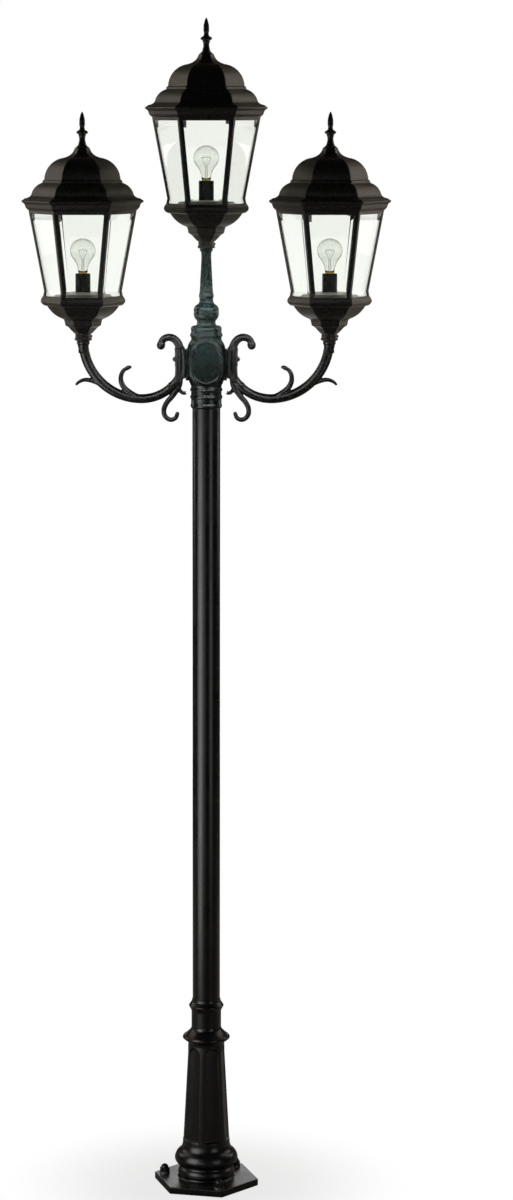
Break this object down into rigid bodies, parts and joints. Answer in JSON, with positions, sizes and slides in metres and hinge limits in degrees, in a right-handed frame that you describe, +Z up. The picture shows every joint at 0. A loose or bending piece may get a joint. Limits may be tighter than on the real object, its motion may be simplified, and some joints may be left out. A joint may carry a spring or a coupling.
{
  "type": "triple head lamp post",
  "caption": "Round pole on a bolted hexagonal foot with a hub, two scroll arms and a stem that carry clear hexagonal glass lanterns.",
  "frame": {"origin": "centre of the foot's underside, on the ground", "axes": "+Z up along the pole, the arms along -X and +X, front towards -Y"},
  "size_m": [1.002, 0.2876, 3.242],
  "materials": {
    "cast_black": "semi-gloss black enamel on cast aluminium",
    "pole_black": "semi-gloss black enamel on aluminium tube",
    "hub_green_black": "semi-gloss green-black enamel on cast aluminium",
    "plated_steel": "dull zinc plate",
    "socket_black": "phenolic moulding",
    "pan_grey": "pale grey enamel",
    "clear_pane": "clear bevelled glass",
    "lamp_glass": "clear blown glass",
    "lamp_brass": "rolled brass shell",
    "filament_glass": "pressed glass mount with wires",
    "lead_sheath": "black sheath",
    "splice_body": "moulded terminal block"
  },
  "bodies": {
    "root": {"base_casting": "pole_black", "anchor_washers": "plated_steel", "anchor_nuts": "cast_black", "base_set_screws": "plated_steel", "pole": "pole_black", "hub_casting": "hub_green_black", "hub_set_screws": "plated_steel", "stem": "hub_green_black", "stem_nipple": "plated_steel", "arm_left": "cast_black", "arm_right": "cast_black", "arm_bolts_left": "plated_steel", "arm_bolts_right": "plated_steel", "lead_left": "lead_sheath", "lead_right": "lead_sheath", "lead_centre": "lead_sheath", "lead_splice": "splice_body"},
    "lantern_left": {"cup_left": "cast_black", "fitter_screws_left": "plated_steel", "cage_left": "cast_black", "panes_left": "clear_pane", "glass_clips_left": "plated_steel", "pan_left": "pan_grey", "socket_left": "socket_black", "socket_nipple_left": "plated_steel", "roof_strap_left": "plated_steel"},
    "roof_cap_left": {"roof_left": "cast_black"},
    "finial_knob_left": {"finial_left": "cast_black"},
    "lamp_left": {"bulb_glass_left": "lamp_glass", "bulb_base_left": "lamp_brass", "filament_mount_left": "filament_glass"},
    "lantern_centre": {"cup_centre": "cast_black", "fitter_screws_centre": "plated_steel", "cage_centre": "cast_black", "panes_centre": "clear_pane", "glass_clips_centre": "plated_steel", "pan_centre": "pan_grey", "socket_centre": "socket_black", "socket_nipple_centre": "plated_steel", "roof_strap_centre": "plated_steel"},
    "roof_cap_centre": {"roof_centre": "cast_black"},
    "finial_knob_centre": {"finial_centre": "cast_black"},
    "lamp_centre": {"bulb_glass_centre": "lamp_glass", "bulb_base_centre": "lamp_brass", "filament_mount_centre": "filament_glass"},
    "lantern_right": {"cup_right": "cast_black", "fitter_screws_right": "plated_steel", "cage_right": "cast_black", "panes_right": "clear_pane", "glass_clips_right": "plated_steel", "pan_right": "pan_grey", "socket_right": "socket_black", "socket_nipple_right": "plated_steel", "roof_strap_right": "plated_steel"},
    "roof_cap_right": {"roof_right": "cast_black"},
    "finial_knob_right": {"finial_right": "cast_black"},
    "lamp_right": {"bulb_glass_right": "lamp_glass", "bulb_base_right": "lamp_brass", "filament_mount_right": "filament_glass"}
  },
  "joints": [
    {"name": "lantern_swivel_left", "type": "hinge", "parent": "root", "child": "lantern_left", "pos_m": [-0.335, 0, 2.375], "axis": [0, 0, 1], "range_deg": [-180, 180]},
    {"name": "roof_lift_left", "type": "slide", "parent": "lantern_left", "child": "roof_cap_left", "axis": [0, 0, 1], "range_m": [0, 0.21]},
    {"name": "finial_turn_left", "type": "hinge", "parent": "roof_cap_left", "child": "finial_knob_left", "pos_m": [-0.335, 0, 2.915], "axis": [0, 0, 1], "continuous": true},
    {"name": "lamp_turn_left", "type": "hinge", "parent": "lantern_left", "child": "lamp_left", "pos_m": [-0.335, 0, 2.545], "axis": [0, 0, 1], "continuous": true},
    {"name": "lantern_swivel_centre", "type": "hinge", "parent": "root", "child": "lantern_centre", "pos_m": [0, 0, 2.625], "axis": [0, 0, 1], "range_deg": [-180, 180]},
    {"name": "roof_lift_centre", "type": "slide", "parent": "lantern_centre", "child": "roof_cap_centre", "axis": [0, 0, 1], "range_m": [0, 0.21]},
    {"name": "finial_turn_centre", "type": "hinge", "parent": "roof_cap_centre", "child": "finial_knob_centre", "pos_m": [0, 0, 3.165], "axis": [0, 0, 1], "continuous": true},
    {"name": "lamp_turn_centre", "type": "hinge", "parent": "lantern_centre", "child": "lamp_centre", "pos_m": [0, 0, 2.795], "axis": [0, 0, 1], "continuous": true},
    {"name": "lantern_swivel_right", "type": "hinge", "parent": "root", "child": "lantern_right", "pos_m": [0.335, 0, 2.375], "axis": [0, 0, 1], "range_deg": [-180, 180]},
    {"name": "roof_lift_right", "type": "slide", "parent": "lantern_right", "child": "roof_cap_right", "axis": [0, 0, 1], "range_m": [0, 0.21]},
    {"name": "finial_turn_right", "type": "hinge", "parent": "roof_cap_right", "child": "finial_knob_right", "pos_m": [0.335, 0, 2.915], "axis": [0, 0, 1], "continuous": true},
    {"name": "lamp_turn_right", "type": "hinge", "parent": "lantern_right", "child": "lamp_right", "pos_m": [0.335, 0, 2.545], "axis": [0, 0, 1], "continuous": true}
  ]
}
